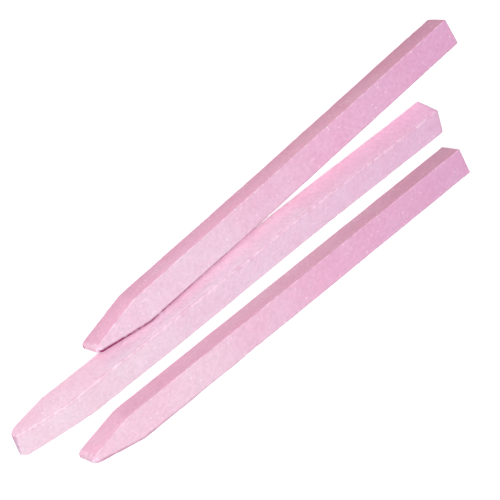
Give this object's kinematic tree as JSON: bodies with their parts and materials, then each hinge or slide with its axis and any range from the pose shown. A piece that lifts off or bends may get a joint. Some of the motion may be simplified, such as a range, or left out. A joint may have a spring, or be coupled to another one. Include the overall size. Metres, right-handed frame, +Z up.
{
  "type": "sanding stick set",
  "caption": "Square abrasive stone sanding sticks of pink bonded grit, each ground to a blunt two-sided point, loose on the bench with the middle one leaning on its neighbour.",
  "frame": {"origin": "centre of the set's outline on the surface it lies on", "axes": "+X from the ground points to the square butts, +Y to the left stick's side, +Z up"},
  "size_m": [0.1418, 0.0366, 0.0087],
  "materials": {
    "pink_grit": "matte"
  },
  "bodies": {
    "right": {"right_stick": "pink_grit"},
    "left": {"left_stick": "pink_grit"},
    "middle": {"middle_stick": "pink_grit"}
  },
  "joints": [
    {"name": "left_lift", "type": "slide", "parent": "right", "child": "left", "axis": [0, 0, 1], "range_m": [0, 0.04]},
    {"name": "middle_lift", "type": "slide", "parent": "right", "child": "middle", "axis": [0, 0, 1], "range_m": [0, 0.04]}
  ]
}
